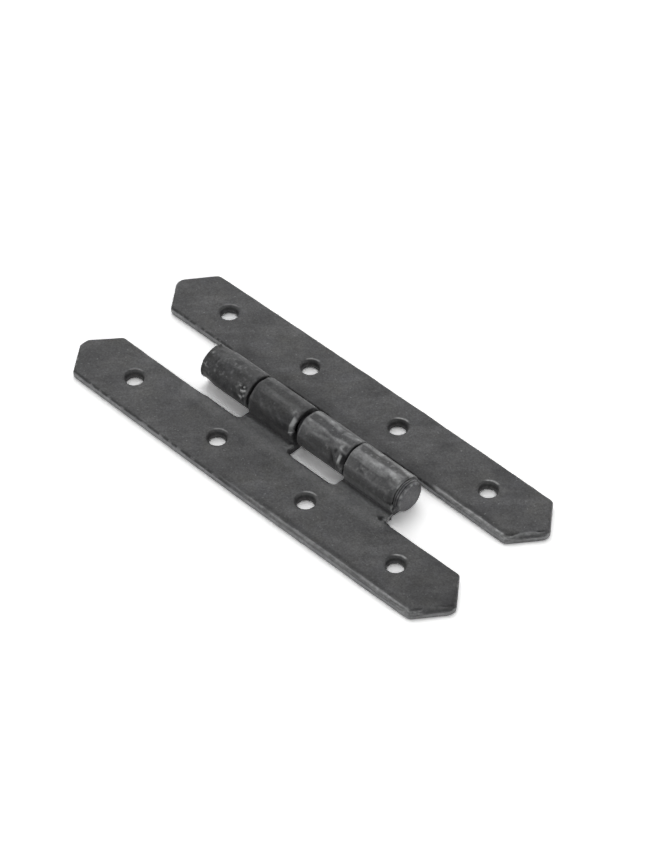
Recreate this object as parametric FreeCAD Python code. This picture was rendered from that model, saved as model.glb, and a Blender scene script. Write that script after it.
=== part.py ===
import FreeCAD, Part
import math
import os

# Hand-forged H hinge, laid open and flat. Millimetres.
# X runs along the pin, +Y from the front leaf to the rear leaf, +Z up.
# The origin is on the floor, under the middle of the barrel's axis.

V = FreeCAD.Vector

# Leaves: a strip of steel with pointed ends, two of them side by side
leaf_length = 178.0
leaf_width = 24.75
leaf_thickness = 3.0
inner_edge = 10.7          # from the pin's axis to the near edge of a leaf, at its ends
leaf_bow = 0.6             # how far forging has bent the middle of a leaf outward
point_length = 8.6         # from a shoulder to the blunt tip
tip_flat = 2.6
shoulder_round = 1.5
edge_bevel = 0.5
long_end = 0.9             # how much further the front leaf reaches at its -X end
long_end_blunt = 1.2       # how much wider its tip is there, on the pin's side
point_bevel_width = 2.2    # hammered bevel on one slope of each leaf's +X point
point_bevel_depth = 1.5

# Root pad: the stretch of the front leaf's inner edge that forging left proud
pad_start = -38.5
pad_end = 75.0
pad_rise = 0.55            # at its start, from where it falls to nothing at its end
pad_step = 3.0             # length of the slope that leads up to its start

# Screw holes: four in each leaf, marked out and drilled by hand
hole_diameter = 6.8
hole_rim = 0.5
hole_pitch = 42.0
front_hole_drift = (-0.4, -0.6, 0.0, -0.7)
rear_hole_drift = (-0.5, -2.2, -1.8, -1.7)
front_hole_inset = 0.8     # towards the pin, from the middle of the leaf's width
rear_hole_inset = -0.5

# Pin: a rod with a head at +X, riveted over in the last knuckle at its other end
pin_diameter = 7.9
running_clearance = 0.05
head_diameter = 12.4
head_length = 2.5
head_edge = 0.3
head_gap = 0.2
rivet_spread = 0.8
rivet_clearance = 0.02
rivet_dome = 0.6

# Knuckles: tabs of the strip curled over the pin, in order along +X
barrel_start = -46.9
knuckle_length = (22.9, 21.2, 21.3, 22.4)
knuckle_gap = (1.2, 2.3, 0.8)
front_knuckles = (1, 3)
rear_knuckles = (0, 2)
tab_spread = ((0.2, 0.2), (0.2, 1.6), (0.2, 0.2), (0.15, 0.4))   # wider than the knuckle, at -X and +X
tab_spread_from = 3.9      # from the pin's axis to where a tab gets that wide
root_round = ((2.0, 2.0), (2.0, 2.0), (2.0, 2.0), (1.5, 3.0))    # corner between a tab and its leaf
head_passage = 0.3         # from the pin's head to the wide part of the tab beside it
seam_gap = 0.2             # between the end of a curl and the tab under it
knuckle_edge = 0.4
taper_length = 7.0         # hammered taper on the barrel's -X end
taper_depth = 0.8

eye_radius = pin_diameter / 2 + running_clearance
barrel_radius = eye_radius + leaf_thickness
axis_z = barrel_radius
half_length = leaf_length / 2
joint_lap = edge_bevel + 0.5   # how far a tab's solid reaches into its leaf
shoulder = half_length - point_length
near_tip = inner_edge + (leaf_width - tip_flat) / 2
far_tip = inner_edge + (leaf_width + tip_flat) / 2


def knuckle_spans():
    """Start and end of every knuckle along X."""
    spans = []
    start = barrel_start
    for index, length in enumerate(knuckle_length):
        spans.append((start, start + length))
        if index < len(knuckle_gap):
            start += length + knuckle_gap[index]
    return spans


def bowed(x, distance):
    """A line at this distance from the axis at the leaf's ends, bent outward between them."""
    return distance + leaf_bow * (1 - (x / half_length) ** 2)


def pick(shape, test):
    """The edges whose box passes a test."""
    return [edge for edge in shape.Edges if test(edge.BoundBox)]


def corner(x, distance):
    return V(x, -distance, 0)


def bowed_arc(start, end, distance):
    """A stretch of a leaf's long edge."""
    places = (start, (start + end) / 2, end)
    return Part.Arc(*[corner(x, bowed(x, distance)) for x in places]).toShape()


def near_side(left, padded):
    """The edge beside the pin, from the shoulder at -X to the one at +X."""
    if not padded:
        return [bowed_arc(left, shoulder, inner_edge)]
    foot = corner(pad_start - pad_step, bowed(pad_start - pad_step, inner_edge))
    top = corner(pad_start, bowed(pad_start, inner_edge) - pad_rise)
    merge = corner(pad_end, bowed(pad_end, inner_edge))
    return [
        bowed_arc(left, foot.x, inner_edge),
        Part.makeLine(foot, top),
        Part.makeLine(top, merge),
        bowed_arc(pad_end, shoulder, inner_edge),
    ]


def slope_bevel(slope_start, slope_end):
    """The wedge that the hammer took off the top edge of a slope, which has its leaf on the left."""
    along = slope_end - slope_start
    along.normalize()
    inward = V(-along.y, along.x, 0)
    steepness = point_bevel_depth / point_bevel_width
    beyond = 1.0
    overrun = 2 * point_bevel_width

    def section(depth_in, z):
        return slope_start - along * overrun + inward * depth_in + V(0, 0, z)

    wedge = Part.Face(Part.makePolygon([
        section(-beyond, leaf_thickness - point_bevel_depth - steepness * beyond),
        section(point_bevel_width + beyond / steepness, leaf_thickness + beyond),
        section(-beyond, leaf_thickness + beyond),
        section(-beyond, leaf_thickness - point_bevel_depth - steepness * beyond),
    ]))
    return wedge.extrude(along * ((slope_end - slope_start).Length + 2 * overrun))


def plate(longer, blunter, padded):
    """The strip of a leaf on the -Y side, whose -X end may be longer and its tip there blunter."""
    far = inner_edge + leaf_width
    left = -shoulder - longer
    left_tip = -half_length - longer
    near_left = corner(left, bowed(left, inner_edge))
    near_right = corner(shoulder, bowed(shoulder, inner_edge))
    far_left = corner(left, bowed(left, far))
    far_right = corner(shoulder, bowed(shoulder, far))
    outline = Part.Wire(near_side(left, padded) + [
        Part.makeLine(near_right, corner(half_length, near_tip)),
        Part.makeLine(corner(half_length, near_tip), corner(half_length, far_tip)),
        Part.makeLine(corner(half_length, far_tip), far_right),
        bowed_arc(shoulder, left, far),
        Part.makeLine(far_left, corner(left_tip, far_tip)),
        Part.makeLine(corner(left_tip, far_tip), corner(left_tip, near_tip - blunter)),
        Part.makeLine(corner(left_tip, near_tip - blunter), near_left),
    ])
    strip = Part.Face(outline).extrude(V(0, 0, leaf_thickness))
    rounded = [left, shoulder, pad_start - pad_step, pad_start]

    def to_round(b):
        upright = b.XLength + b.YLength < 1e-4
        return upright and min(abs(b.XMin - x) for x in rounded) < 1e-3

    strip = strip.makeFillet(shoulder_round, pick(strip, to_round))
    return strip.makeChamfer(edge_bevel, pick(strip, lambda b: b.ZMin > leaf_thickness - 1e-4))


def front_plate():
    """Its +X point is bevelled on the slope away from the pin."""
    far_shoulder = corner(shoulder, bowed(shoulder, inner_edge + leaf_width))
    wedge = slope_bevel(far_shoulder, corner(half_length, far_tip))
    return plate(long_end, long_end_blunt, True).cut(wedge)


def rear_plate():
    """Its +X point is bevelled on the slope beside the pin. Here, before the half turn, that end is at -X."""
    near_shoulder = corner(-shoulder, bowed(shoulder, inner_edge))
    wedge = slope_bevel(near_shoulder, corner(-half_length, near_tip))
    return plate(0.0, 0.0, False).cut(wedge)


def curl(start, end):
    """A tab: out from the leaf under the pin, round it, and straight down to its own top."""
    root = -bowed((start + end) / 2, inner_edge) - joint_lap
    stop = leaf_thickness + seam_gap

    def at(y, z):
        return V(start, y, z)

    def round_to(radius, first, last):
        """An arc about the pin's axis between two angles, in degrees from +Y towards +Z."""
        points = []
        for degrees in (first, (first + last) / 2, last):
            a = math.radians(degrees)
            points.append(at(radius * math.cos(a), axis_z + radius * math.sin(a)))
        return Part.Arc(*points).toShape()

    profile = Part.Wire([
        Part.makeLine(at(root, 0), at(0, 0)),
        round_to(barrel_radius, -90, 180),
        Part.makeLine(at(-barrel_radius, axis_z), at(-barrel_radius, stop)),
        Part.makeLine(at(-barrel_radius, stop), at(-eye_radius, stop)),
        Part.makeLine(at(-eye_radius, stop), at(-eye_radius, axis_z)),
        round_to(eye_radius, 180, -90),
        Part.makeLine(at(0, leaf_thickness), at(root, leaf_thickness)),
        Part.makeLine(at(root, leaf_thickness), at(root, 0)),
    ])
    tab = Part.Face(profile).extrude(V(end - start, 0, 0))

    def outer_rim(b):
        return b.XLength < 1e-4 and b.YMax > barrel_radius - 1e-3

    return tab.makeFillet(knuckle_edge, pick(tab, outer_rim))


def tab_foot(x, side, spread, rounding, spread_from):
    """The wider part of a tab at -X (side -1) or +X (side 1), with a round corner at the leaf."""
    edge = bowed(x, inner_edge)
    wide = x + side * spread
    turn = math.radians(45)
    centre = V(wide + side * rounding, rounding - edge, 0)
    middle = centre + V(-side * rounding * math.cos(turn), -rounding * math.sin(turn), 0)
    neck = corner(wide, edge - rounding)
    root = corner(centre.x, edge)
    deep = edge + joint_lap
    outline = Part.Wire([
        Part.makeLine(corner(x, spread_from), corner(wide, spread_from)),
        Part.makeLine(corner(wide, spread_from), neck),
        Part.Arc(neck, middle, root).toShape(),
        Part.makeLine(root, corner(root.x, deep)),
        Part.makeLine(corner(root.x, deep), corner(x, deep)),
        Part.makeLine(corner(x, deep), corner(x, spread_from)),
    ])
    return Part.Face(outline).extrude(V(0, 0, leaf_thickness))


def screw_hole(x, y):
    """A drilled hole with a small bevelled rim at its top."""
    radius = hole_diameter / 2
    drill = Part.makeCylinder(radius, leaf_thickness, V(x, y, 0))
    rim = Part.makeCone(radius, radius + hole_rim, hole_rim, V(x, y, leaf_thickness - hole_rim))
    return drill.fuse(rim)


def tab(index, turned):
    """The curl and the two feet of a knuckle, on the -Y side. Turned, its +X end comes first."""
    start, end = knuckle_spans()[index]
    feet = list(zip(tab_spread[index], root_round[index]))
    head_side = head_diameter / 2 + head_passage
    wide_from = [tab_spread_from, head_side if index == len(knuckle_length) - 1 else tab_spread_from]
    if turned:
        start, end = -end, -start
        feet.reverse()
        wide_from.reverse()
    return [
        curl(start, end),
        tab_foot(start, -1, *feet[0], wide_from[0]),
        tab_foot(end, 1, *feet[1], wide_from[1]),
    ]


def leaf(strip, tabs, drift, inset):
    """One leaf on the -Y side: its strip, its tabs and its screw holes."""
    body = strip.fuse(tabs)
    middle = inner_edge + leaf_width / 2 - inset
    for index, shift in enumerate(drift):
        x = (index - 1.5) * hole_pitch + shift
        body = body.cut(screw_hole(x, -bowed(x, middle)))
    return body.removeSplitter()


def half_turned(shape):
    """The same form on the rear side: half a turn about Z."""
    copy = shape.copy()
    copy.rotate(V(0, 0, 0), V(0, 0, 1), 180)
    return copy


def lathe(points):
    """A solid turned about the pin's axis from (x, radius) points."""
    corners = [V(x, 0, axis_z + radius) for x, radius in points]
    face = Part.Face(Part.makePolygon(corners + corners[:1]))
    return face.revolve(V(0, 0, axis_z), V(1, 0, 0), 360)


def barrel_end_tools(start):
    """What the hammer and the rivet take from the first knuckle: a taper and a countersink."""
    beyond = 1.0
    slope = taper_depth / taper_length
    outside = barrel_radius + beyond
    taper = lathe([
        (start - beyond, barrel_radius - taper_depth - slope * beyond),
        (start + taper_length, barrel_radius),
        (start + taper_length, outside),
        (start - beyond, outside),
    ])
    tab_side = Part.makeBox(taper_length + 2 * beyond, outside, axis_z + beyond)
    tab_side.translate(V(start - beyond, 0, -beyond))
    sink = lathe([
        (start - beyond, 0),
        (start - beyond, eye_radius + rivet_spread + beyond),
        (start + rivet_spread, eye_radius),
        (start + rivet_spread, 0),
    ])
    return taper.cut(tab_side), sink


def pin(start, end):
    """The rod, its head past the last knuckle and its riveted end in the first."""
    radius = pin_diameter / 2
    spread = eye_radius + rivet_spread - rivet_clearance
    head = head_diameter / 2
    seat = end + head_gap
    face = seat + head_length
    half_side = [
        V(seat, 0, radius),
        V(seat, 0, head - head_edge),
        V(seat + head_edge, 0, head),
        V(face - head_edge, 0, head),
        V(face, 0, head - head_edge),
        V(face, 0, 0),
        V(start - rivet_dome, 0, 0),
    ]
    shoulder = V(start + spread - radius, 0, radius)
    rim = V(start, 0, spread)
    bulge = V(start - rivet_dome * 0.75, 0, spread / 2)
    edges = [Part.makeLine(a, b) for a, b in zip(half_side, half_side[1:])]
    edges += [
        Part.Arc(half_side[-1], bulge, rim).toShape(),
        Part.makeLine(rim, shoulder),
        Part.makeLine(shoulder, half_side[0]),
    ]
    solid = Part.Face(Part.Wire(edges)).revolve(V(0, 0, 0), V(1, 0, 0), 360)
    solid.translate(V(0, 0, axis_z))
    return solid


def build():
    first = knuckle_spans()[0][0]
    last = knuckle_spans()[-1][1]
    front_tabs = [piece for index in front_knuckles for piece in tab(index, False)]
    rear_tabs = [piece for index in rear_knuckles for piece in tab(index, True)]
    rear_drift = [-shift for shift in reversed(rear_hole_drift)]
    rear = half_turned(leaf(rear_plate(), rear_tabs, rear_drift, rear_hole_inset))
    for tool in barrel_end_tools(first):
        rear = rear.cut(tool)
    return {
        "front_leaf": leaf(front_plate(), front_tabs, front_hole_drift, front_hole_inset),
        "rear_leaf": rear,
        "hinge_pin": pin(first, last),
    }


os.makedirs("parts", exist_ok=True)
for name, shape in build().items():
    shape.exportStep("parts/" + name + ".step")
    print(name, "valid", shape.isValid(), "solids", len(shape.Solids), "volume", round(shape.Volume, 1))
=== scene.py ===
import itertools
import math

import bpy
import numpy as np
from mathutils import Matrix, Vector


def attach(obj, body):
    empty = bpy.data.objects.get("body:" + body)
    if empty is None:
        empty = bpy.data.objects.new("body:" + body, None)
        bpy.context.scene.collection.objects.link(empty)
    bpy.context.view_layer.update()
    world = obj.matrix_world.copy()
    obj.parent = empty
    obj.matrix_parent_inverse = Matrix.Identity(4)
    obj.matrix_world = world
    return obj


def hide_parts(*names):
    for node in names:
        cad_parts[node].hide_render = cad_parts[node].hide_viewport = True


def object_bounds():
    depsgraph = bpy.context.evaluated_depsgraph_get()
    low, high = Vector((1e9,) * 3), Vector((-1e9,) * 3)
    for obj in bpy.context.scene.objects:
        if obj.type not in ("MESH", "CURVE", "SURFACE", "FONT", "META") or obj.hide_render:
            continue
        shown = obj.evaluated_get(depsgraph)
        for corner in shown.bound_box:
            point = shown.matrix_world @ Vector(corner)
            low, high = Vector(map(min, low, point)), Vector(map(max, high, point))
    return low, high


# A hand-forged H hinge in dark waxed steel, lying open on a white floor.
# The shaping below works in millimetres; every mesh is written in metres.
MM = 0.001

# Camera, matched to the photograph by the four corners of each leaf and the eight holes
AZIMUTH = 44.375
ELEVATION = 45.402
DISTANCE = 1.023927
TARGET = Vector((0.001529, 0.006334, 0.0))
LENS = 123.24
SENSOR = 36.0

# Which side of the pin each leaf lies on, as the sign of its Y
FRONT = -1
REAR = 1

# The strip of a leaf, as the CAD model has it
HALF_LENGTH = 89.0
NEAR_EDGE = 10.7
FAR_EDGE = 35.45
THICKNESS = 3.0
BOW = 0.6
SHOULDER = 80.4
NEAR_TIP = 21.775
FAR_TIP = 24.375
# How much longer the front leaf's left end is, and how much blunter its tip
LONG_END = 0.9
LONG_END_BLUNT = 1.2
# Points this far from the pin's axis belong to the strip, and nearer ones to its tabs
STRIP_FROM = 8.2

# The proud stretch of the front leaf's inner edge
PAD_START = -38.5
PAD_END = 75.0
PAD_RISE = 0.55
PAD_STEP = 3.0

# The holes of each leaf: place along the pin, and distance from it
HOLE_RADIUS = 3.4
FRONT_HOLES = ((-63.4, 22.57), (-21.6, 22.84), (21.0, 22.84), (62.3, 22.58))
REAR_HOLES = ((-63.5, 23.87), (-23.2, 24.13), (19.2, 24.15), (61.3, 23.89))

# The barrel, as the CAD model has it
AXIS_Z = 7.0
BARREL = 7.0
# Where each knuckle starts and ends along the pin: the first and third are the rear leaf's
KNUCKLES = ((-46.9, -24.0), (-22.8, -1.6), (0.7, 22.0), (22.8, 45.2))
# Where each tab's foot, with its round corners, starts and ends on its leaf's edge
FEET = ((-49.1, -21.8), (-25.0, 2.0), (-1.5, 24.2), (21.15, 48.6))

# The end face of a curl, at this height in the CAD model, is sunk to this one, which closes it on its tab
CURL_END_Z = 3.2
CURL_SUNK_Z = 2.2

# The cells in which a leaf's mesh is made even
VOXEL = 0.4

# How far a leaf's top edge is worn inward and down, how much more on its broad slope, and its lower edge
EDGE_REACH = 0.62
EDGE_DROP = 0.66
BROAD_REACH = 1.5
BROAD_DROP = 0.95
LOW_EDGE = 0.3

# How far a hole's rim is rounded, and how much narrower the bore gets toward its foot
RIM_REACH = 0.62
BORE_LEAN = 0.5
# The lip round a hole: its height, how far from the bore it runs, and its width
LIP_HEIGHT = 0.17
LIP_AWAY = 0.7
LIP_WIDTH = 0.3
# Where each hole's lip is highest, as an angle from +X, and how bright the painted highlight on it is there
BURR_TURN = (2.2, 2.05, 1.95, 1.95)
BURR_PAINTED_HIGHLIGHT = (0.5, 0.75, 1.0, 1.0)

# A knuckle's points this far from the axis are its outside, and nearer ones its bore
SKIN_FROM = 5.4
# How far past its ends, and past the barrel on its leaf's side, a knuckle's points may lie
END_ROOM = 0.3
SIDE_ROOM = 0.4
# Flats left by the hammer on each knuckle: angle from +Y over the top, distance from the axis
FLATS = (
    ((72, 6.92), (122, 6.88), (160, 6.9)),
    ((48, 6.92), (84, 6.8), (134, 6.74), (170, 6.88)),
    ((52, 6.92), (92, 6.78), (150, 6.76)),
    ((46, 6.92), (84, 6.8), (140, 6.8), (172, 6.94)),
)
# How much lighter each knuckle's ridges, lower near face and upright side are: worn ridges brightened
# further as a painted highlight, and painted light on the upright side that lifts the shade near the seam
RIDGE_WEAR_AND_HIGHLIGHT = (0.2, 0.4, 0.95, 1.0)
NEAR_TONE = (0.0, 0.0, 0.0, 0.14)
UPRIGHT_TONE = (0.0, 0.12, 0.0, 0.5)
# How sooty each knuckle is, how much soot blotches it, and how much worn points sparkle on it
KNUCKLE_SOOT = (0.32, 0.42, 0.2, 0.0)
BLOTCHES = (0.5, 0.35, 0.3, 0.12)
SPARKLES = (0.4, 0.22, 0.32, 0.42)
# The far crest, lit along its whole length by a painted highlight
CREST_TURN = 47

# Knuckles whose right-hand end is cut to a slope on the near side: size, first and last angle, and
# how wide and how soft (in angle) its bright crescent, a painted reflection, is
CUT_ENDS = ((1, 1.5, 134, 176, 1.0, 16), (2, 2.3, 144, 168, 0.5, 9))

# Worn and sooty patches, the bright ones on the upper ridges partly painted highlights: knuckle, x, angle,
# width along, width around, tilt, how bare, how sooty
PATCHES = (
    (0, -33.9, 65, 4.0, 0.8, 0, 0.25, 0),
    (0, -36.0, 119, 5.0, 0.9, 20, 0.2, 0),
    (0, -28.9, 178, 2.0, 1.5, 0, 0, 0.8),
    (0, -31.5, 152, 2.2, 1.2, 0, 0, 0.5),
    (1, -17.0, 150, 4.0, 0.7, 40, 0.2, 0),
    (1, -12.0, 156, 4.0, 0.6, 40, 0.2, 0),
    (1, -7.5, 160, 3.0, 0.6, 40, 0.18, 0),
    (1, -12.0, 150, 10.0, 3.2, 0, 0, 0.5),
    (1, -7.0, 176, 4.5, 2.4, 0, 0, 0.75),
    (1, -4.0, 114, 2.4, 1.1, 0, 1.0, 0),
    (1, -14.0, 108, 7.0, 0.7, 0, 0.4, 0),
    (2, 3.0, 122, 2.6, 1.0, 0, 1.0, 0),
    (2, 9.5, 126, 6.0, 1.0, -8, 0.75, 0),
    (2, 19.4, 119, 1.8, 1.4, 0, 0.8, 0),
    (2, 17.2, 174, 0.9, 3.4, -27, 0, 1.0),
    (2, 10.0, 154, 9.0, 2.4, 0, 0, 0.5),
    (3, 43.2, 109, 3.2, 2.3, 0, 1.0, 0),
    (3, 33.0, 107, 8.0, 1.7, 0, 0.7, 0),
    (3, 30.3, 143, 1.3, 0.4, 15, 0, 0.5),
    (3, 35.8, 140, 0.45, 1.0, 10, 0, 0.5),
    (3, 44.2, 158, 1.2, 3.0, 0, 0, 0.75),
    (3, 40.5, 168, 3.0, 1.4, 0, 0, 0.35),
)

# The first knuckle's pitted outer end: how many pits, their radius, depth and seed
PIT_COUNT = 46
PIT_RADIUS = 0.5
PIT_DEPTH = 0.3
PIT_SEED = 5
PITTED_FROM = 5.2

# Turned pin: (x, radius) from the riveted end to the face of its head
PIN_PROFILE = (
    (-47.5, 0.0), (-47.48, 1.0), (-47.4, 2.0), (-47.25, 3.0), (-47.1, 3.9), (-46.9, 4.6),
    (-46.75, 4.76), (-46.4, 4.45), (-46.1, 3.95), (45.3, 3.95),
    (45.3, 4.2), (45.3, 5.8), (45.4, 6.1), (45.65, 6.18), (45.85, 6.1), (45.98, 5.78),
    (46.1, 5.76), (46.22, 6.1), (46.45, 6.16), (46.65, 6.05), (46.77, 5.72), (46.9, 5.7),
    (47.02, 5.88), (47.2, 5.84), (47.42, 5.7), (47.6, 5.52), (47.76, 5.3), (47.86, 5.1),
    (47.9, 4.9), (47.88, 4.0), (47.88, 2.0), (47.9, 0.0),
)
PIN_STEP = 0.25
PIN_SIDES = 120
# The two grooves turned in the rim of its head, as x and width, and the radius of its flat face
PIN_GROOVES = ((46.04, 0.14), (46.84, 0.15))
PIN_FACE = 5.2

# Colours: dark and middle tones of each steel, its bare metal, which painted highlights use too, its tints,
# and its soot, which painted shade uses too
LEAF_DARK = (0.05, 0.05, 0.0515)
LEAF_MIDDLE = (0.07, 0.07, 0.071)
PIN_DARK = (0.066, 0.066, 0.069)
PIN_MIDDLE = (0.094, 0.094, 0.098)
BARE_AND_LIT_STEEL = (0.36, 0.365, 0.365)
WARM_TINT = (0.096, 0.093, 0.081)
COOL_TINT = (0.086, 0.088, 0.1)
SMEAR_TINT = (0.11, 0.11, 0.112)
SOOT_AND_SHADE_TINT = (0.012, 0.012, 0.013)

# The floor's white, and the lifted white that is seen and mirrored
PAPER = 0.9
PAPER_SEEN = 1.7

# Light: a white room, bright near the horizon and dim overhead. In between, from HORIZON_TOP to
# OVERHEAD_FROM as the height of a direction, it fades. One big soft window is behind on the left.
HORIZON = 1.5
OVERHEAD = 0.2
HORIZON_TOP = 0.3
OVERHEAD_FROM = 0.6
WINDOW = (-0.4, 0.35, 0.85)
WINDOW_EDGE = 0.85
WINDOW_FULL = 0.97
WINDOW_LIGHT = 2.0

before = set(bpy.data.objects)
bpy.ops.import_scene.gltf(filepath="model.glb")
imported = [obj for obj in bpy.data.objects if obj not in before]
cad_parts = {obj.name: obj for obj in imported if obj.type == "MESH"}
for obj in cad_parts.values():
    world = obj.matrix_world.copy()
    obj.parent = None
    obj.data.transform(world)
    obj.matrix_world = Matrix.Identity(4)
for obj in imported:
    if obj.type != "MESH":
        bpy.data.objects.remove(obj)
cad_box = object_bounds()


# Small tools for shaping

def ease(low, high, value):
    """0 on low's side, 1 on high's side, smooth between."""
    t = np.clip((value - low) / (high - low), 0, 1)
    return t * t * (3 - 2 * t)


def inside(low, high, value, soft=1.0):
    """1 between low and high, fading to 0 over a soft distance outside."""
    return ease(low - soft, low, value) * (1 - ease(high, high + soft, value))


def bump(value, middle, width):
    """1 at the middle, fading to 0 over this width on both sides."""
    return np.exp(-((value - middle) / width) ** 2)


def grain(points, size, seed):
    """Smooth seeded noise from -1 to 1 with features of this size."""
    cells = 32
    table = np.random.default_rng(seed).uniform(-1, 1, (cells, cells, cells))
    scaled = points / size + 0.37 * seed
    base = np.floor(scaled).astype(int)
    t = scaled - base
    t = t * t * (3 - 2 * t)
    total = np.zeros(len(points))
    for corner in itertools.product((0, 1), repeat=3):
        weight = np.prod(np.where(corner, t, 1 - t), axis=1)
        i, j, k = ((base + corner) % cells).T
        total += weight * table[i, j, k]
    return total


def along(x, size, seed):
    """The same noise along one line."""
    line = np.zeros((len(x), 3))
    line[:, 0] = x
    return grain(line, size, seed)


def worn_corner(d, h, reach, drop, power):
    """New distances from the two faces of a square corner, worn to this reach along and drop down."""
    a = 1 - d / reach
    c = 1 - h / drop
    near = (a > 0) & (c > 0)
    a = np.where(near, a, 1.0)
    c = np.where(near, c, 1.0)
    scale = np.where(near, 1 / (a ** power + c ** power) ** (1 / power), 1.0)
    return np.where(near, reach * (1 - a * scale), d), np.where(near, drop * (1 - c * scale), h)


class FinishAndLight:
    """How worn bright and how sooty the metal is at each vertex, and where highlights and shade are painted
    on it.
    """

    def __init__(self, count):
        self.bare_and_lit = np.zeros(count)
        self.soot_and_shade = np.zeros(count)

    def lighten(self, amount):
        """Lightens the metal at least this much, for wear and for painted highlights."""
        self.bare_and_lit = np.maximum(self.bare_and_lit, amount)

    def darken(self, amount):
        """Darkens the metal at least this much, for sooty grime and for painted shade."""
        self.soot_and_shade = np.maximum(self.soot_and_shade, amount)

    def wipe(self, share):
        """Takes this share of the darkening away, sooty grime and painted shade alike."""
        self.soot_and_shade = self.soot_and_shade * (1 - share)


# The strip, where v is the distance from the pin's axis across the leaf

def bowed(x, distance):
    """Where an edge lies that is this far from the axis at the leaf's ends."""
    return distance + BOW * (1 - (x / HALF_LENGTH) ** 2)


def pad(x):
    """How far the front leaf's inner edge stands proud of its bowed line, and how steeply it changes."""
    fall = PAD_RISE / (PAD_END - PAD_START)
    climb = PAD_RISE / PAD_STEP
    on_step = (x > PAD_START - PAD_STEP) & (x < PAD_START)
    on_pad = (x >= PAD_START) & (x < PAD_END)
    rise = np.where(on_step, climb * (x - PAD_START + PAD_STEP), 0)
    rise = np.where(on_pad, fall * (PAD_END - x), rise)
    return rise, np.where(on_step, climb, 0) - np.where(on_pad, fall, 0)


def strip_edges(x, v, side):
    """Distance inward from each edge of the outline, and each edge's outward direction."""
    ones = np.ones_like(x)
    rise, climb = pad(x) if side == FRONT else (0 * x, 0 * x)
    steep = np.hypot(climb, 1)
    inner = ((v - bowed(x, NEAR_EDGE) + rise) / steep, -climb / steep, -1 / steep)
    outer = (bowed(x, FAR_EDGE) - v, 0 * x, ones)
    found = [inner, outer]
    near = bowed(SHOULDER, NEAR_EDGE)
    far = bowed(SHOULDER, FAR_EDGE)
    for end in (-1, 1):
        longer, blunter = (LONG_END, LONG_END_BLUNT) if side == FRONT and end < 0 else (0, 0)
        shoulder = SHOULDER + longer
        tip = HALF_LENGTH + longer
        corners = ((shoulder, near), (tip, NEAR_TIP - blunter), (tip, FAR_TIP), (shoulder, far))
        for (xa, va), (xb, vb) in zip(corners, corners[1:]):
            length = math.hypot(xb - xa, vb - va)
            nx = (vb - va) / length
            nv = -(xb - xa) / length
            d = -((end * x - xa) * nx + (v - va) * nv)
            found.append((d, end * nx * ones, nv * ones))
    return found


def outline(x, v, side, feet):
    """Distance inward from the strip's outline and its outward direction, left open at the tabs."""
    edges = strip_edges(x, v, side)
    tab = np.zeros_like(x)
    for start, end in feet:
        tab = np.maximum(tab, inside(start + 0.4, end - 0.4, x, 0.8))
    distances, edges_x, edges_v = (np.array(part) for part in zip(*edges))
    distances[0] += 6 * tab
    lowest = distances.min(axis=0)
    blend = 0.3
    weights = np.exp(-(distances - lowest) / blend)
    total = weights.sum(axis=0)
    nx = (weights * edges_x).sum(axis=0) / total
    nv = (weights * edges_v).sum(axis=0) / total
    length = np.hypot(nx, nv)
    return lowest - blend * np.log(total), nx / length, nv / length


def broad_slope(x, v, side):
    """1 on the slope of the right-hand point that is bevelled broadly."""
    half = ease(21, 27, v) if side == FRONT else 1 - ease(19, 25, v)
    return ease(76, 83, x) * half


def bevel_size(p, x, v, side):
    """How far the hammer has worn the top edge inward and down here."""
    reach = EDGE_REACH + 0.13 * grain(p, 7, 11) + 0.05 * grain(p, 2.5, 12)
    drop = EDGE_DROP + 0.12 * grain(p, 6, 15)
    broad = broad_slope(x, v, side)
    run_up = ease(62, 80, x) * (ease(30, 34, v) if side == FRONT else 0)
    left = ease(-74, -84, x)
    reach = reach + broad * (BROAD_REACH + 0.35 * grain(p, 4, 13)) + 0.7 * run_up * (1 - broad) + 0.2 * left
    drop = drop + broad * (BROAD_DROP + 0.2 * grain(p, 4, 16)) + 0.6 * run_up * (1 - broad) + 0.1 * left
    return np.clip(reach, 0.3, 2.6), np.clip(drop, 0.3, 1.9)


def roll_size(p, x, v, side):
    """Where wear has rolled the top toward its edge, and how wide and how deep."""
    if side == FRONT:
        here = ease(29, 33, v) * ease(-15, 25, x) * (1 - ease(82, 86, x))
        reach = 1.5 + 0.5 * ease(20, 75, x)
        drop = 0.32 + 0.16 * ease(20, 75, x)
    else:
        here = (1 - ease(14, 18, v)) * ease(45.5, 50, x) * (1 - ease(80, 84, x))
        reach = 1.75
        drop = 0.5
    reach = reach + 0.2 * grain(p, 5, 17) + 0.15 * grain(p, 1.6, 18)
    return here, reach, drop + 0.06 * grain(p, 4, 19)


def burr(dx, dy, index):
    """How high the lip round a hole is raised on one side, and how bright its painted highlight is."""
    toward = np.cos(np.arctan2(dy, dx) - BURR_TURN[index])
    return LIP_HEIGHT * ease(0.0, 0.95, toward), BURR_PAINTED_HIGHLIGHT[index] * ease(0.74, 0.95, toward)


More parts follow.
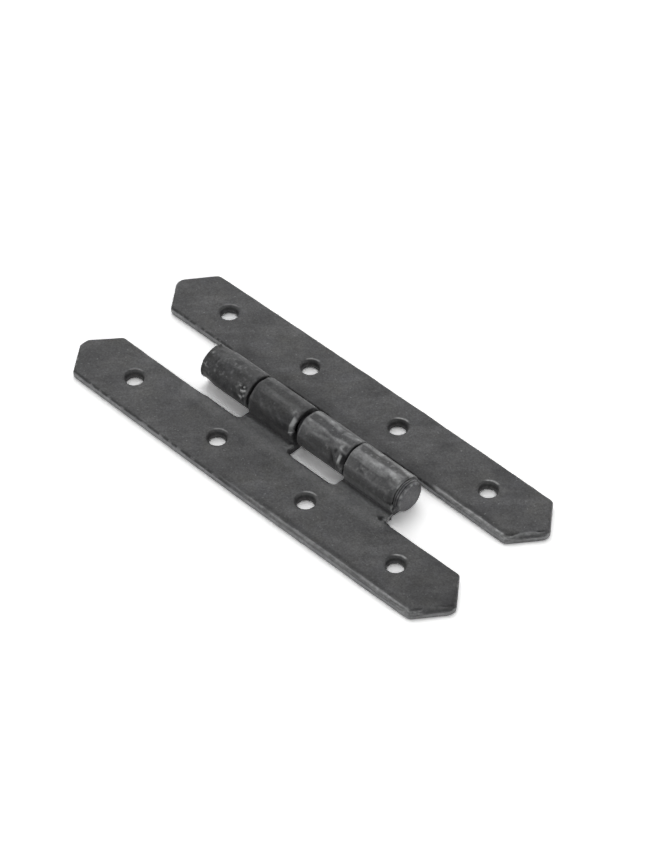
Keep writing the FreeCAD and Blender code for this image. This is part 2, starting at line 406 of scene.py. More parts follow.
def shape_holes(p, x, v, top, side, holes):
    """Rounded rims and narrowing bores. Returns how far the metal round them rises, and its marks."""
    lift = np.zeros_like(x)
    rim = np.zeros_like(x)
    bore = np.zeros_like(x)
    lip = np.zeros_like(x)
    for index, (hx, hv) in enumerate(holes):
        dx = x - hx
        dv = v - hv
        r = np.hypot(dx, dv)
        wall = r - HOLE_RADIUS
        near = wall < 2
        rim_reach = RIM_REACH + 0.12 * along(np.arctan2(dv, dx), 0.8, 20 + index)
        new_wall, new_top = worn_corner(wall, top, rim_reach, 0.8 * rim_reach, 1.25)
        lean = BORE_LEAN * ease(0.5, 2.8, top) * ease(1.2, 0.0, wall)
        move = np.where(near, new_wall - wall - lean, 0)
        p[:, 0] += dx / r * move
        p[:, 1] += side * (dv / r * move)
        rise, shine = burr(dx, side * dv, index)
        raised = rise * bump(wall, LIP_AWAY, LIP_WIDTH)
        lift += np.where(near, top - new_top + raised * ease(1.0, 0.2, top), 0)
        rim = np.maximum(rim, np.where(near, ease(0.75, 0.4, wall) * ease(1.0, 0.3, top), 0))
        bore = np.maximum(bore, np.where(near, ease(0.25, 0.05, wall) * ease(0.5, 1.0, top), 0))
        crest = ease(0.35, 0.6, wall) * ease(1.3, 1.0, wall) * ease(1.0, 0.3, top)
        # The lip's brightness is a painted highlight
        lip = np.maximum(lip, np.where(near, crest * shine, 0))
    return lift, {"rim": rim, "bore": bore, "lip": lip}


def edge_marks(d, top, reach, drop, rolled, roll_reach, broad, on_strip):
    """Where the strip's edge is bevelled, upright, rolled, shaded by the roll, and broadly sloped."""
    roll = np.clip(1 - d / roll_reach, 0, 1)
    upper = np.where(on_strip, ease(2.2, 0.4, top), 0)
    return {
        "bevel": np.where(on_strip, ease(1.25, 0.55, d / reach + top / drop), 0),
        "wall": np.where(on_strip, ease(0.5, 0.15, d) * ease(0.45, 0.9, top), 0),
        "roll": rolled * upper * ease(0.0, 0.3, roll) * (1 - ease(0.8, 0.98, roll)),
        "shade": rolled * upper * bump(d, roll_reach + 0.9, 0.9),
        "slope": broad * upper * bump(d / reach, 0.75, 0.22),
        "broad": broad * upper * ease(1.3, 1.0, d / reach),
    }


def shape_strip(p, side, feet, holes):
    """Hammered top, worn edges and holes of one leaf. Returns its marks."""
    x = p[:, 0].copy()
    v = side * p[:, 1]
    under = p[:, 2].copy()
    top = THICKNESS - under
    on_strip = (v > STRIP_FROM) & (top > -0.2)
    d, nx, nv = outline(x, v, side, feet)
    reach, drop = bevel_size(p, x, v, side)
    rolled, roll_reach, roll_drop = roll_size(p, x, v, side)
    reach = reach * (1 - 0.35 * rolled)
    drop = drop * (1 - 0.35 * rolled)
    roll = np.clip(1 - d / roll_reach, 0, 1)
    new_d, new_top = worn_corner(d, top, reach, drop, 1.35)
    dull = LOW_EDGE + 0.08 * grain(p, 4, 14)
    low_d, low = worn_corner(d, under, dull, dull, 1.5)
    shift = np.where(on_strip, d - new_d, 0) + np.where(on_strip, d - low_d, 0)
    lift = np.where(on_strip, top - new_top, 0) - np.where(on_strip, under - low, 0)
    marks = edge_marks(d, top, reach, drop, rolled, roll_reach, broad_slope(x, v, side), on_strip)
    hole_lift, hole_marks = shape_holes(p, x, v, top, side, holes)
    marks.update(hole_marks)
    p[:, 0] += nx * shift
    p[:, 1] += side * nv * shift
    p[:, 2] += lift + hole_lift
    flat = ease(8.0, 10.5, v)
    height = np.clip(p[:, 2] / THICKNESS, 0, 1)
    waves = 0.09 * grain(p, 17, 31) + 0.05 * grain(p, 7, 32) + 0.018 * grain(p, 2.6, 33)
    p[:, 2] += flat * height * waves
    p[:, 2] -= np.where(on_strip, height * rolled * roll_drop * roll ** 1.4, 0)
    pull = ease(3.0, 0.0, d) * flat * (0.14 + 0.08 * grain(p, 11, 34) + 0.05 * grain(p, 3, 35))
    p[:, 0] -= nx * pull
    p[:, 1] -= side * nv * pull
    return marks


# The barrel, where an angle is measured from +Y over the top

class Barrel:
    """One leaf's points round the pin's axis, and how far each is to move."""

    def __init__(self, p, side):
        self.p = p
        self.side = side
        self.x, self.y, self.z = p.T.copy()
        self.r = np.hypot(self.y, self.z - AXIS_Z)
        angle = np.degrees(np.arctan2(self.z - AXIS_Z, self.y)) % 360
        self.angle = np.where(angle > 300, angle - 360, angle)
        self.upright = (side * self.y > 0) & (self.z < AXIS_Z)
        self.outside = self.r > SKIN_FROM
        self.skin = self.outside & ~self.upright
        self.out = np.zeros_like(self.x)
        self.slide = np.zeros_like(self.x)

    def knuckle(self, index):
        """The points of one knuckle, without the strip beside it."""
        start, end = KNUCKLES[index]
        level = (self.x > start - END_ROOM) & (self.x < end + END_ROOM)
        return level & (self.side * self.y < BARREL + SIDE_ROOM)

    def spot(self, place, width, tilt=0.0):
        """A soft round mark: 1 at its place, fading over its width."""
        dx = self.x - place[0]
        da = np.radians(self.angle - place[1]) * BARREL
        c = math.cos(math.radians(tilt))
        s = math.sin(math.radians(tilt))
        u = (dx * c + da * s) / width[0]
        w = (da * c - dx * s) / width[1]
        return np.exp(-(u * u + w * w))

    def move(self):
        """Moves the points along the barrel and out from its axis or its upright side."""
        r = np.maximum(self.r, 0.1)
        self.p[:, 0] += self.slide
        self.p[:, 1] += np.where(self.upright, self.side, self.y / r) * self.out
        self.p[:, 2] += np.where(self.upright, 0, (self.z - AXIS_Z) / r) * self.out


def flattened(angle, x, flats, seed):
    """Radius of a knuckle's skin at an angle, where flats meet in soft ridges."""
    turn = 7 * along(x, 5, seed)
    soft = 0.09
    total = np.ones_like(x)
    for index, (middle, distance) in enumerate(flats):
        away = np.radians(np.clip(angle - middle - turn, -60, 60))
        depth = distance + 0.07 * along(x, 4, seed + 1 + index)
        total = total + np.exp((BARREL - depth / np.cos(away)) / soft)
    return BARREL - soft * np.log(total)


def hammer_knuckle(b, finish_and_light, index):
    """Presses the hammer's flats into a knuckle and lightens the ridges between them: worn, and brightened
    further as a painted highlight.
    """
    skin = b.skin & b.knuckle(index)
    target = flattened(b.angle, b.x, FLATS[index], 40 + 10 * index)
    fade = ease(8, 25, b.angle) * (1 - ease(180, 215, b.angle))
    rough = 0.02 * grain(b.p, 1.3, 61) + 0.03 * grain(b.p, 3, 62)
    b.out += np.where(skin, fade * (target - BARREL + rough - 0.03), 0)
    # Ridges facing the light are lightened: worn, and brightened further as a painted highlight
    ridge = np.where(skin, ease(-0.16, -0.03, target - BARREL) * fade, 0)
    ridge = ridge * (1 - 0.9 * ease(124, 138, b.angle))
    broken = 0.5 + 0.5 * grain(b.p, 2.0, 64)
    finish_and_light.lighten(ridge * broken * RIDGE_WEAR_AND_HIGHLIGHT[index])


def wear_rims(b, finish_and_light, index):
    """Rounds the rims at both ends of a knuckle."""
    start, end = KNUCKLES[index]
    size = 0.6 + 0.2 * along(b.angle, 22, 63 + index)
    if index == 0:
        size = size + 1.1 * ease(-45.4, -46.9, b.x)
    depth = np.where(b.upright, BARREL - b.side * b.y, BARREL - b.r)
    across = np.minimum(b.x - start, end - b.x)
    new_across, new_depth = worn_corner(across, depth, size, size, 1.7)
    rim = b.knuckle(index) & (depth < 2) & ((b.z > THICKNESS + 0.4) | ~b.upright)
    toward = np.where(b.x - start < end - b.x, 1, -1)
    b.slide += toward * np.where(rim, new_across - across, 0)
    b.out -= np.where(rim, new_depth - depth, 0)
    worn = rim & (across < 1.0) & (depth < 0.9)
    finish_and_light.lighten(np.where(worn, 0.22 + 0.2 * grain(b.p, 1.5, 65), 0))


def tone_knuckle(b, finish_and_light, index):
    """The tones of a whole knuckle: worn and sooty, with a painted highlight on its far crest and painted
    light low on its upright side.
    """
    here = b.knuckle(index)
    whole = here & b.outside
    # A painted highlight along the knuckle's far crest
    crest = bump(b.angle, CREST_TURN, 8) * (here & b.skin)
    finish_and_light.lighten(crest * (0.48 + 0.15 * along(b.x, 2.5, 66 + index)))
    finish_and_light.lighten(ease(112, 135, b.angle) * whole * NEAR_TONE[index])
    # Painted light that lifts the shade low on the upright side, above the seam
    upright = ease(7.0, 5.5, b.z) * (b.upright & here) * (b.z > 2.6)
    finish_and_light.lighten(upright * UPRIGHT_TONE[index])
    sparkle = ease(0.45, 0.75, grain(b.p, 0.9, 85 + index))
    finish_and_light.lighten(np.where(whole, SPARKLES[index] * sparkle, 0))
    finish_and_light.darken(np.where(whole, KNUCKLE_SOOT[index] * (0.8 + 0.4 * grain(b.p, 3.5, 67)), 0))
    blotch = ease(0.2, 0.6, grain(b.p, 2.3, 75 + index))
    finish_and_light.darken(np.where(whole, BLOTCHES[index] * blotch, 0))


def mark_patches(b, finish_and_light, indices):
    """The worn and sooty patches, the bright ones on the upper ridges partly painted highlights; a worn one
    is rubbed clean of sooty grime.
    """
    mottle = np.clip(0.8 + 0.5 * grain(b.p, 1.0, 68), 0, 1)
    wiped = np.zeros_like(b.x)
    for index, x, turn, wide, round_it, tilt, worn, grimy in PATCHES:
        if index in indices:
            on = b.spot((x, turn), (wide, round_it), tilt) * (b.outside & b.knuckle(index))
            wiped = np.maximum(wiped, worn * on * mottle)
            finish_and_light.darken(grimy * on)
    finish_and_light.lighten(wiped)
    finish_and_light.wipe(0.85 * wiped)


def crust(b, finish_and_light):
    """Crusty scale at the first knuckle's right end, and bright points at its outer end."""
    skin = b.skin & b.knuckle(0)
    crusty = np.maximum(b.spot((-26.3, 143), (2.0, 1.9), 20), b.spot((-25.7, 168), (1.5, 1.6)))
    knobs = grain(b.p, 0.9, 70)
    b.out += np.where(skin, crusty * (0.1 + 0.6 * knobs), 0)
    tips = np.where(skin, np.minimum(1.3 * crusty, 1) * ease(0.08, 0.35, knobs), 0)
    finish_and_light.lighten(tips)
    finish_and_light.wipe(tips)
    finish_and_light.darken(np.where(skin, crusty * ease(0.0, -0.3, knobs), 0))
    points = ease(-42.5, -45.5, b.x) * ease(95, 105, b.angle) * ease(0.3, 0.5, grain(b.p, 0.8, 74))
    finish_and_light.lighten(0.9 * np.where(skin, points, 0) * (1 - ease(150, 165, b.angle)))


def cut_end(b, finish_and_light, index, size, first, last, width, soft):
    """Cuts a knuckle's right-hand end to a slope with a bright crescent, a painted reflection; darker
    beside it, and painted shade on the rest of the cut face.
    """
    end = KNUCKLES[index][1]
    cut = b.skin & (b.x > end - size - 1) & (b.x < end + END_ROOM)
    arc = inside(first, last, b.angle, 18)
    b.out -= np.where(cut, arc * np.clip(size - (end - b.x), 0, size), 0)
    # The crescent's brightness is a painted reflection
    lit = inside(first, last, b.angle, soft) * inside(size - 0.1 - width, size - 0.1, end - b.x, 0.25)
    shine = np.where(cut, lit, 0)
    finish_and_light.lighten(shine)
    beside = b.spot((end - size - 2.1, 172), (2.0, 2.4)) * (b.x > end - 8) * b.skin
    finish_and_light.darken(0.9 * beside)
    # Painted shade on the cut face below the crescent
    finish_and_light.darken(np.where(cut & (end - b.x < size - 0.3), 0.8 * arc, 0))
    finish_and_light.wipe(shine)


def weld(b, finish_and_light):
    """The third knuckle's weld lump with a painted glint on it, with a fold and a dark pit beside it."""
    here = b.knuckle(2)
    place = (19.6, 122)
    lump = 0.85 * b.spot(place, (1.0, 0.9)) + 0.4 * b.spot((19.4, 110), (1.2, 0.7))
    lump = lump * (1 + 0.4 * grain(b.p, 1.1, 71))
    lump -= 1.5 * b.spot((17.2, 174), (0.8, 3.2), -27)
    lump -= 0.4 * b.spot((17.6, 134), (0.8, 0.9))
    b.out += np.where(b.skin & here, lump, 0)
    # A painted glint on the weld lump
    glint = b.spot(place, (1.1, 1.0)) * here
    finish_and_light.lighten(glint)
    finish_and_light.darken(b.spot((17.6, 136), (0.7, 1.2)) * here)
    finish_and_light.wipe(glint)


def nick(b):
    """A small lump, a dent and two nicks on the last knuckle."""
    lump = 0.3 * b.spot((35.2, 68), (0.7, 0.6))
    lump -= 0.25 * b.spot((34.2, 72), (0.6, 0.6))
    lump -= 0.26 * b.spot((30.3, 143), (1.4, 0.4), 15)
    lump -= 0.26 * b.spot((35.8, 140), (0.45, 1.1), 10)
    b.out += np.where(b.skin & b.knuckle(3), lump, 0)


def shape_barrel(p, side, indices, finish_and_light):
    """Hammers and marks one leaf's knuckles."""
    b = Barrel(p, side)
    for index in indices:
        hammer_knuckle(b, finish_and_light, index)
        wear_rims(b, finish_and_light, index)
        tone_knuckle(b, finish_and_light, index)
    mark_patches(b, finish_and_light, indices)
    if 0 in indices:
        crust(b, finish_and_light)
    for index, *slope in CUT_ENDS:
        if index in indices:
            cut_end(b, finish_and_light, index, *slope)
    if 2 in indices:
        weld(b, finish_and_light)
    if 3 in indices:
        nick(b)
    b.move()


def pit_end(p, finish_and_light):
    """Pits the first knuckle's outer end on its upper near side, and soots it."""
    rng = np.random.default_rng(PIT_SEED)
    total = np.zeros(len(p))
    for _ in range(PIT_COUNT):
        a = math.radians(rng.uniform(98, 165))
        x = KNUCKLES[0][0] + 6.5 * rng.beta(1.2, 2.2)
        place = (x, BARREL * math.cos(a), AXIS_Z + BARREL * math.sin(a))
        total = np.maximum(total, bump(np.linalg.norm(p - place, axis=1), 0, PIT_RADIUS))
    r = np.hypot(p[:, 1], p[:, 2] - AXIS_Z)
    total = np.where(r > PITTED_FROM, total, 0)
    p[:, 1] -= p[:, 1] / np.maximum(r, 0.1) * (PIT_DEPTH * total)
    p[:, 2] -= (p[:, 2] - AXIS_Z) / np.maximum(r, 0.1) * (PIT_DEPTH * total)
    finish_and_light.darken(0.8 * total)
    finish_and_light.darken(0.3 * ease(-42, -46.9, p[:, 0]) * (np.abs(p[:, 1]) < 8))


def seam(p, side, spans):
    """The groove where a curl ends on its own tab. Returns how dark the joint is."""
    away = np.hypot(side * p[:, 1] - BARREL, p[:, 2] - THICKNESS)
    run = np.zeros(len(p))
    for start, end in spans:
        run = np.maximum(run, inside(start, end, p[:, 0], 0.4))
    deep = run * bump(away, 0, 0.45)
    p[:, 1] -= side * 0.6 * deep
    p[:, 2] -= 0.45 * deep
    return run * bump(away, 0, 0.7)


def tear_root(p, finish_and_light):
    """Torn metal at the last knuckle's outer end, where its tab leaves the front leaf."""
    stretch = ease(42.4, 44.6, p[:, 0]) * (1 - ease(46.8, 48.6, p[:, 0]))
    near = stretch * inside(5.6, 11.5, -p[:, 1], 0.8) * (1 - ease(6.5, 9, p[:, 2]))
    rough = grain(p, 1.4, 81)
    p[:, 0] += near * (0.65 * rough + 0.3 * grain(p, 0.8, 82))
    p[:, 1] -= near * 0.35 * grain(p, 1.1, 83)
    finish_and_light.lighten(0.7 * (near * ease(0.0, 0.4, rough)))
    finish_and_light.darken(near * ease(0.05, -0.15, rough))


# The tones of the strip: wear and grime, with painted light and shade

def wear_and_light_edges(p, side, marks, finish_and_light):
    """Wear and sooty grime along the strip's edges, and on the rims and lips of its holes; the brighter
    rolls, slopes and right-hand bevels are partly painted highlights, the upright walls partly a painted
    reflection of the floor, the left bevels and the band inside a roll painted shade, and the lips painted
    highlights.
    """
    x = p[:, 0]
    v = side * p[:, 1]
    scuff = 0.5 + 0.5 * grain(p, 3, 91)
    fleck = ease(0.25, 0.6, grain(p, 1.1, 93))
    right = ease(72, 84, x)
    dull = (1 - ease(-15, 25, x)) * (ease(24, 28, v) if side == FRONT else ease(20, 16, v))
    # Painted shade on the bevels of the left half
    finish_and_light.darken(marks["bevel"] * dull * 0.5 * (1 - fleck))
    # Bevels brighter toward the right: flecks of wear, and partly a painted highlight
    finish_and_light.lighten(marks["bevel"] * (0.08 + 0.3 * right * scuff + 0.4 * fleck))
    # The upright walls: partly worn, partly a painted reflection of the white floor
    wall_wear_and_reflection = 0.5 + 0.06 * ease(20, 80, x) - (0.1 if side == FRONT else 0.2) * right
    finish_and_light.lighten(marks["wall"] * (wall_wear_and_reflection + 0.18 * grain(p, 2.2, 92)))
    if side == FRONT:
        roll_wear_and_highlight = 0.5 + 0.3 * ease(55, 70, x) + 0.2 * grain(p, 1.3, 94)
        slope_wear_and_highlight = 0.25
        finish_and_light.darken(marks["broad"] * 0.45 * (1 - fleck))
    else:
        roll_wear_and_highlight = 0.9 + 0.25 * grain(p, 1.3, 94)
        slope_wear_and_highlight = 0.7
    # Rolled edges and broad slopes: worn, and brightened further as painted highlights
    finish_and_light.lighten(marks["roll"] * roll_wear_and_highlight)
    finish_and_light.lighten(marks["slope"] * (slope_wear_and_highlight + 0.4 * grain(p, 1.8, 95)))
    finish_and_light.darken(marks["shade"] * (0.3 + 0.1 * scuff))
    finish_and_light.lighten(0.12 * marks["rim"] * scuff)
    # Painted highlights on the lips of the holes
    finish_and_light.lighten(marks["lip"] * (0.8 + 0.2 * fleck))


def finish_bores(p, marks, finish_and_light):
    """Darker just under each hole's rim, and lighter metal below it."""
    under_rim = ease(2.3, 1.2, THICKNESS - p[:, 2])
    finish_and_light.lighten(0.26 * marks["bore"] * (1 - under_rim))
    finish_and_light.darken(0.35 * marks["bore"] * under_rim)


def paint_top_light_and_shade(p, side, finish_and_light):
    """Painted light on the front leaf's top beside the barrel, painted shade on the rear leaf's top behind
    it, and the front top darker toward its right-hand point.
    """
    x = p[:, 0]
    v = side * p[:, 1]
    level = (p[:, 2] > 2.2) & (p[:, 2] < 3.6)
    beside = inside(-47, 46, x, 3) * (1 - ease(13, 18, v)) * (v > 7.2) * level
    if side == FRONT:
        # Painted light that lifts the shade the barrel casts on the front top
        finish_and_light.lighten((0.12 + 0.38 * ease(11.5, 8, v)) * beside)
        finish_and_light.darken((0.22 * ease(66, 74, x) + 0.2 * ease(82, 87, x)) * level)
    else:
        # Painted shade of the barrel on the rear top
        finish_and_light.darken(0.3 * beside)


# Meshes

def fine_copy(node, side):
    """A copy of a CAD leaf as an even fine mesh, in millimetres, its curls closed on their tabs."""
    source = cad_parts[node].data
    p = read_points(source) / MM
    v = side * p[:, 1]
    curl_end = (np.abs(p[:, 2] - CURL_END_Z) < 0.05) & (v > 3) & (v < 7.2)
    p[curl_end, 2] = CURL_SUNK_Z
    mesh = source.copy()
    mesh.vertices.foreach_set("co", p.ravel())
    rough = bpy.data.objects.new(node + "_rough", mesh)
    bpy.context.scene.collection.objects.link(rough)
    remesh = rough.modifiers.new("even", "REMESH")
    remesh.mode = "VOXEL"
    remesh.voxel_size = VOXEL
    graph = bpy.context.evaluated_depsgraph_get()
    even = bpy.data.meshes.new_from_object(rough.evaluated_get(graph))
    bpy.data.objects.remove(rough)
    bpy.data.meshes.remove(mesh)
    return even


def read_points(mesh):
    p = np.empty(3 * len(mesh.vertices))
    mesh.vertices.foreach_get("co", p)
    return p.reshape(-1, 3)


def write_points(mesh, p):
    mesh.vertices.foreach_set("co", (p * MM).ravel())
    mesh.update()


def keep_inside(p):
    """Keeps the points inside the CAD model's box."""
    low = np.array(cad_box[0]) / MM
    high = np.array(cad_box[1]) / MM
    np.clip(p, low, high, out=p)


def store(mesh, finish_and_light):
    """Keeps how worn bright and how sooty the metal is at each vertex, painted highlights and shade
    included, for the material.
    """
    for name, values in (("bare_and_lit", finish_and_light.bare_and_lit), ("soot_and_shade", finish_and_light.soot_and_shade)):
        layer = mesh.attributes.new(name, "FLOAT", "POINT")
        layer.data.foreach_set("value", np.clip(values, 0, 1).astype(np.float32))


def add_piece(name, mesh, body, node, material):
    """Shows the mesh in the CAD node's place, riding on its body."""
    mesh.name = name
    mesh.materials.clear()
    mesh.materials.append(material)
    mesh.shade_smooth()
    piece = bpy.data.objects.new(name, mesh)
    bpy.context.scene.collection.objects.link(piece)
    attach(piece, body)
    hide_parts(node)


def forge_leaf(name, node, body, side, indices, holes, material):
    """Shapes one leaf from its CAD node."""
    mesh = fine_copy(node, side)
    p = read_points(mesh)
    finish_and_light = FinishAndLight(len(p))
    marks = shape_strip(p, side, [FEET[i] for i in indices], holes)
    shape_barrel(p, side, indices, finish_and_light)
    joint = seam(p, side, [KNUCKLES[i] for i in indices])
    if 0 in indices:
        pit_end(p, finish_and_light)
    if 3 in indices:
        tear_root(p, finish_and_light)
    wear_and_light_edges(p, side, marks, finish_and_light)
    finish_bores(p, marks, finish_and_light)
    paint_top_light_and_shade(p, side, finish_and_light)
    finish_and_light.bare_and_lit = finish_and_light.bare_and_lit * (1 - joint)
    finish_and_light.darken(joint)
    keep_inside(p)
    write_points(mesh, p)
    store(mesh, finish_and_light)
    print(name, "triangles", sum(len(face.vertices) - 2 for face in mesh.polygons))
    add_piece(name, mesh, body, node, material)


def fill_profile(profile, step):
    """The profile with points no further apart than a step."""
    filled = [profile[0]]
    for (xa, ra), (xb, rb) in zip(profile, profile[1:]):
        count = max(1, math.ceil(math.hypot(xb - xa, rb - ra) / step))
        for i in range(1, count + 1):
            filled.append((xa + (xb - xa) * i / count, ra + (rb - ra) * i / count))
    return filled


def revolve(rows, around):
    """Points and faces of a profile turned about the pin's axis, closed by a point at each end."""
    middle = rows[1:-1]
    points = [(rows[0][0], 0, AXIS_Z)]
    for x, radius in middle:
        for a in np.arange(around) * 2 * math.pi / around:
            points.append((x, radius * math.cos(a), AXIS_Z + radius * math.sin(a)))
    points.append((rows[-1][0], 0, AXIS_Z))
    last = len(points) - 1
    last_row = 1 + (len(middle) - 1) * around
    faces = []
    for j in range(around):
        k = (j + 1) % around
        faces.append((0, 1 + k, 1 + j))
        for a in range(1, last_row, around):
            b = a + around
            faces.append((a + j, a + k, b + k, b + j))
        faces.append((last_row + j, last_row + k, last))
    return np.array(points, dtype=float), faces


def dress_head(p):
    """Dents the pin's head and returns how it is worn and darkened: worn round its face, sooty in its
    grooves.
    """
    r = np.hypot(p[:, 1], p[:, 2] - AXIS_Z)
    head = ease(45.2, 45.4, p[:, 0])
    groove = head * sum(bump(p[:, 0], x, width) for x, width in PIN_GROOVES)
    dent = head * (0.07 * grain(p, 1.3, 101) + 0.05 * grain(p, 4, 102) - 0.06)
    p[:, 1] += p[:, 1] / np.maximum(r, 0.5) * dent
    p[:, 2] += (p[:, 2] - AXIS_Z) / np.maximum(r, 0.5) * dent
    p[:, 0] += head * (0.05 * grain(p, 2.2, 103) - 0.05)
    finish_and_light = FinishAndLight(len(p))
    finish_and_light.lighten(head * ease(4.9, 5.3, r) * (0.3 + 0.5 * grain(p, 1.0, 104)))
    rings = r > PIN_FACE
    finish_and_light.darken(0.85 * groove * rings)
    finish_and_light.darken(0.35 * head * ease(-0.2, 0.5, grain(p, 1.6, 105)) * rings)
    return finish_and_light


def turn_pin(name, material):
    """Turns the pin and its head."""
    p, faces = revolve(fill_profile(PIN_PROFILE, PIN_STEP), PIN_SIDES)
    finish_and_light = dress_head(p)
    keep_inside(p)
    mesh = bpy.data.meshes.new(name)
    mesh.from_pydata((p * MM).tolist(), [], faces)
    mesh.update()
    store(mesh, finish_and_light)
    add_piece(name, mesh, "rear", "hinge_pin", material)


# Materials

class Nodes:
    """Short calls for building a node tree."""

    def __init__(self, tree):
        self.tree = tree

    def add(self, kind, **values):
        node = self.tree.nodes.new(kind)
        for key, value in values.items():
            setattr(node, key, value)
        return node

    def link(self, source, target):
        self.tree.links.new(source, target)

    def feed(self, socket, value):
        """Links another node's output to a socket, or sets the socket to a number or colour."""
        if isinstance(value, (int, float)):
            socket.default_value = value
        elif isinstance(value, tuple):
            socket.default_value = (*value, 1)
        else:
            self.link(value, socket)

    def noise(self, vector, scale, detail, rough=0.6, stretch=None):
        node = self.add("ShaderNodeTexNoise")
        node.inputs["Scale"].default_value = scale
        node.inputs["Detail"].default_value = detail
        node.inputs["Roughness"].default_value = rough
        if stretch:
            scaled = self.add("ShaderNodeVectorMath", operation="MULTIPLY")
            scaled.inputs[1].default_value = stretch
            self.link(vector, scaled.inputs[0])
            vector = scaled.outputs[0]
        self.link(vector, node.inputs["Vector"])
        return node.outputs["Fac"]

    def turned(self, vector, angle, stretch):
        """The same place, drawn out along a line at this angle to X."""
        node = self.add("ShaderNodeMapping", vector_type="TEXTURE")
        node.inputs["Rotation"].default_value = (0, 0, angle)
        node.inputs["Scale"].default_value = (stretch, 1, 1)
        self.link(vector, node.inputs["Vector"])
        return node.outputs["Vector"]

    def spread(self, value, low, high, to_low=0.0, to_high=1.0):
        """Maps low to high onto the new range, and no further."""
        node = self.add("ShaderNodeMapRange", clamp=True)
        for name, number in zip(("From Min", "From Max", "To Min", "To Max"), (low, high, to_low, to_high)):
            node.inputs[name].default_value = number
        self.link(value, node.inputs["Value"])
        return node.outputs["Result"]

    def math(self, operation, a, b):
        node = self.add("ShaderNodeMath", operation=operation)
        self.feed(node.inputs[0], a)
        self.feed(node.inputs[1], b)
        return node.outputs[0]

    def times(self, a, b):
        return self.math("MULTIPLY", a, b)

    def mix(self, factor, a, b, blend="MIX"):
        node = self.add("ShaderNodeMix", data_type="RGBA", blend_type=blend)
        self.feed(node.inputs[0], factor)
        self.feed(node.inputs[6], a)
        self.feed(node.inputs[7], b)
        return node.outputs[2]

    def attribute(self, name):
        return self.add("ShaderNodeAttribute", attribute_name=name).outputs["Fac"]


def steel_colour(n, place, fine, bare_and_lit, soot_and_shade, dark, middle):
    """Mottled dark steel with faint tints, smears and specks, bright where worn and where highlights are
    painted, black with sooty grime and where shade is painted.
    """
    clouds = n.spread(n.noise(place, 70, 4), 0.35, 0.65)
    brushed = n.spread(n.noise(place, 260, 3, stretch=(0.25, 1.0, 1.0)), 0.35, 0.65)
    warm = n.spread(n.noise(place, 110, 3), 0.48, 0.72)
    cool = n.spread(n.noise(place, 95, 3, stretch=(1.0, 1.0, 2.0)), 0.52, 0.75)
    smears = n.spread(n.noise(n.turned(place, 0.8, 4.0), 190, 3), 0.48, 0.68)
    grained = n.spread(n.noise(place, 1500, 3, 0.7), 0.3, 0.7, 0.66, 1.34)
    speck = n.spread(n.noise(place, 1050, 1), 0.69, 0.77)
    colour = n.mix(clouds, dark, middle)
    colour = n.mix(n.times(brushed, 0.35), colour, middle)
    colour = n.mix(n.times(warm, 0.24), colour, WARM_TINT)
    colour = n.mix(n.times(cool, 0.3), colour, COOL_TINT)
    colour = n.mix(n.times(smears, 0.4), colour, SMEAR_TINT)
    colour = n.mix(1.0, colour, grained, "MULTIPLY")
    colour = n.mix(n.times(speck, 0.24), colour, BARE_AND_LIT_STEEL)
    colour = n.mix(n.times(bare_and_lit, n.spread(fine, 0, 1, 0.45, 1.0)), colour, BARE_AND_LIT_STEEL)
    return n.mix(n.times(soot_and_shade, 0.85), colour, SOOT_AND_SHADE_TINT)


def forged_steel(name, dark, middle):
    """Blackened waxed steel: mottled, finely pitted, brighter where it is worn and where highlights are
    painted, darker where shade is painted.
    """
    material = bpy.data.materials.new(name)
    material.use_nodes = True
    n = Nodes(material.node_tree)
    shader = material.node_tree.nodes["Principled BSDF"]
    place = n.add("ShaderNodeTexCoord").outputs["Object"]
    fine = n.spread(n.noise(place, 900, 3), 0.3, 0.7)
    bare_and_lit = n.attribute("bare_and_lit")
    soot_and_shade = n.attribute("soot_and_shade")
    n.link(steel_colour(n, place, fine, bare_and_lit, soot_and_shade, dark, middle), shader.inputs["Base Color"])
    rough = n.spread(n.noise(place, 160, 4), 0.3, 0.7, 0.44, 0.58)
    rough = n.math("SUBTRACT", rough, n.times(bare_and_lit, 0.15))
    rough = n.math("ADD", rough, n.times(soot_and_shade, 0.25))
    n.link(rough, shader.inputs["Roughness"])
    shader.inputs["Metallic"].default_value = 0.55
    shader.inputs["Specular IOR Level"].default_value = 0.5
    height = n.math("ADD", n.times(fine, 0.35), n.noise(place, 330, 3))
    height = n.math("ADD", height, n.times(n.noise(place, 2200, 2), 0.2))
    pitted = n.add("ShaderNodeBump")
    pitted.inputs["Strength"].default_value = 0.5
    pitted.inputs["Distance"].default_value = 0.00025
    n.link(height, pitted.inputs["Height"])
    n.link(pitted.outputs["Normal"], shader.inputs["Normal"])
    return material


def floor_material():
    """White paper, lifted where it is seen or mirrored, so that it is white outside the shadows."""
    material = bpy.data.materials.new("white_floor")
    material.use_nodes = True
    n = Nodes(material.node_tree)
    material.node_tree.nodes.clear()
    rays = n.add("ShaderNodeLightPath")
    seen = n.math("MAXIMUM", rays.outputs["Is Camera Ray"], rays.outputs["Is Glossy Ray"])
    seen = n.math("MAXIMUM", seen, rays.outputs["Is Transmission Ray"])
    both = n.add("ShaderNodeMixShader")
    n.link(seen, both.inputs[0])
    for slot, level in enumerate((PAPER, PAPER_SEEN)):
        paper = n.add("ShaderNodeBsdfDiffuse")
        paper.inputs["Color"].default_value = (level, level, level, 1)
        n.link(paper.outputs[0], both.inputs[1 + slot])
    out = n.add("ShaderNodeOutputMaterial")
    n.link(both.outputs[0], out.inputs["Surface"])
    return material


# The studio

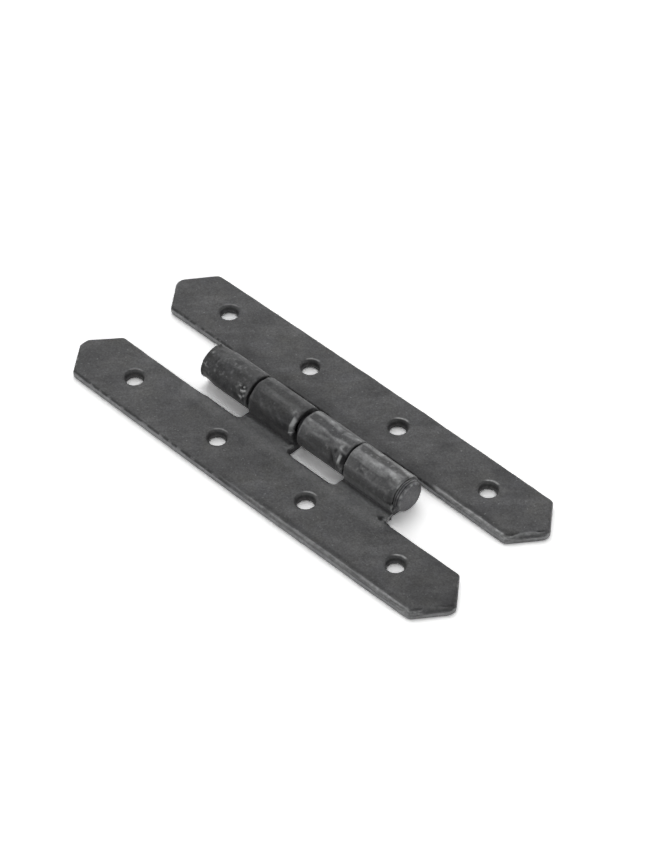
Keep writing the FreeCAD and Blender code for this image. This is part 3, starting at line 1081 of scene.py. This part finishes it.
def light_studio():
    world = bpy.data.worlds.new("studio")
    bpy.context.scene.world = world
    world.use_nodes = True
    n = Nodes(world.node_tree)
    background = world.node_tree.nodes["Background"]
    direction = n.add("ShaderNodeTexCoord").outputs["Generated"]
    split = n.add("ShaderNodeSeparateXYZ")
    n.link(direction, split.inputs[0])
    room = n.spread(split.outputs["Z"], HORIZON_TOP, OVERHEAD_FROM, HORIZON, OVERHEAD)
    dot = n.add("ShaderNodeVectorMath", operation="DOT_PRODUCT")
    n.link(direction, dot.inputs[0])
    dot.inputs[1].default_value = Vector(WINDOW).normalized()
    window = n.add("ShaderNodeMapRange", clamp=True, interpolation_type="SMOOTHSTEP")
    window.inputs["From Min"].default_value = WINDOW_EDGE
    window.inputs["From Max"].default_value = WINDOW_FULL
    window.inputs["To Max"].default_value = WINDOW_LIGHT
    n.link(dot.outputs["Value"], window.inputs["Value"])
    n.link(n.math("ADD", room, window.outputs["Result"]), background.inputs["Strength"])
    background.inputs["Color"].default_value = (1, 1, 1, 1)


def lay_floor():
    reach = 4.0
    mesh = bpy.data.meshes.new("floor")
    corners = [(-reach, -reach, 0), (reach, -reach, 0), (reach, reach, 0), (-reach, reach, 0)]
    mesh.from_pydata(corners, [], [(0, 1, 2, 3)])
    mesh.materials.append(floor_material())
    floor = bpy.data.objects.new("floor", mesh)
    bpy.context.scene.collection.objects.link(floor)


def place_camera():
    camera = bpy.data.cameras.new("camera")
    camera.lens = LENS
    camera.sensor_width = SENSOR
    camera.clip_start = 0.05
    camera.clip_end = 20
    a = math.radians(AZIMUTH)
    e = math.radians(ELEVATION)
    back = Vector((math.sin(a) * math.cos(e), -math.cos(a) * math.cos(e), math.sin(e)))
    eye = bpy.data.objects.new("camera", camera)
    eye.location = TARGET + back * DISTANCE
    eye.rotation_mode = "QUATERNION"
    eye.rotation_quaternion = (-back).to_track_quat("-Z", "Y")
    bpy.context.scene.collection.objects.link(eye)
    bpy.context.scene.camera = eye


bpy.context.scene.view_settings.view_transform = "Standard"
leaf_steel = forged_steel("forged_leaf", LEAF_DARK, LEAF_MIDDLE)
pin_metal = forged_steel("pin_steel", PIN_DARK, PIN_MIDDLE)
forge_leaf("front_leaf_forged", "front_leaf", "front", FRONT, (1, 3), FRONT_HOLES, leaf_steel)
forge_leaf("rear_leaf_forged", "rear_leaf", "rear", REAR, (0, 2), REAR_HOLES, leaf_steel)
turn_pin("pin_turned", pin_metal)
place_camera()
light_studio()
lay_floor()
